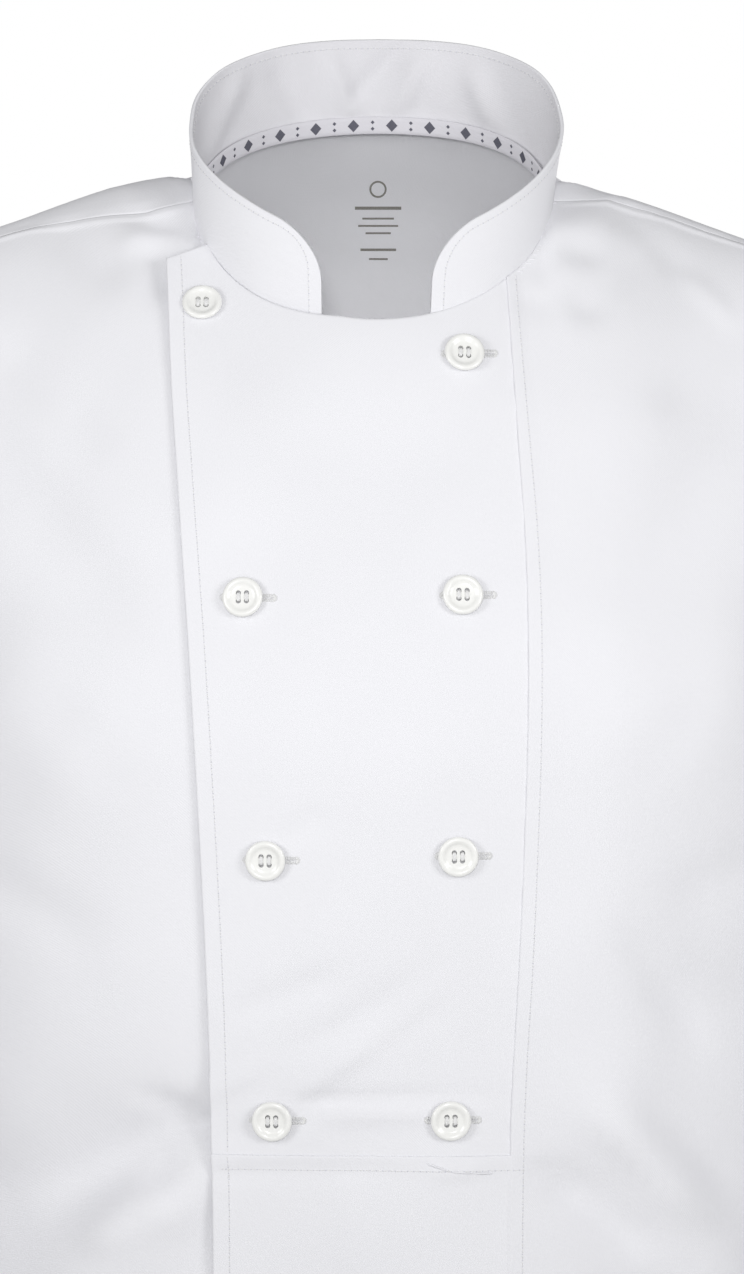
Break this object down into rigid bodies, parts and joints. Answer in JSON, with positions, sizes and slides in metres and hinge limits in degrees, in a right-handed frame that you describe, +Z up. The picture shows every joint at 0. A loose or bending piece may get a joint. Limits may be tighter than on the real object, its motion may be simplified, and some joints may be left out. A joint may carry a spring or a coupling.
{
  "type": "chef jacket",
  "caption": "Double-breasted cook's jacket in white cloth with a stand collar, an inset front panel, two columns of buttons and long plain sleeves, in its hollow worn form.",
  "frame": {"origin": "midway between the two points where the shoulder seams meet the collar, at the height of the shoulders", "axes": "+Z up along the wearer, -Y the jacket's front, +X the wearer's left"},
  "size_m": [0.7712, 0.2812, 0.8141],
  "materials": {
    "body_cloth": "plain matt woven cloth",
    "tape_cloth": "smooth woven tape",
    "button": "glossy moulded plastic"
  },
  "bodies": {
    "root": {"back": "body_cloth", "front_right": "body_cloth", "front_left": "body_cloth", "bib": "body_cloth", "sleeve_left": "body_cloth", "sleeve_right": "body_cloth", "collar": "body_cloth", "neck_tape": "tape_cloth", "button_right_1": "button", "button_right_2": "button", "button_right_3": "button", "button_right_4": "button", "button_left_1": "button", "button_left_2": "button", "button_left_3": "button", "button_left_4": "button"}
  },
  "joints": []
}
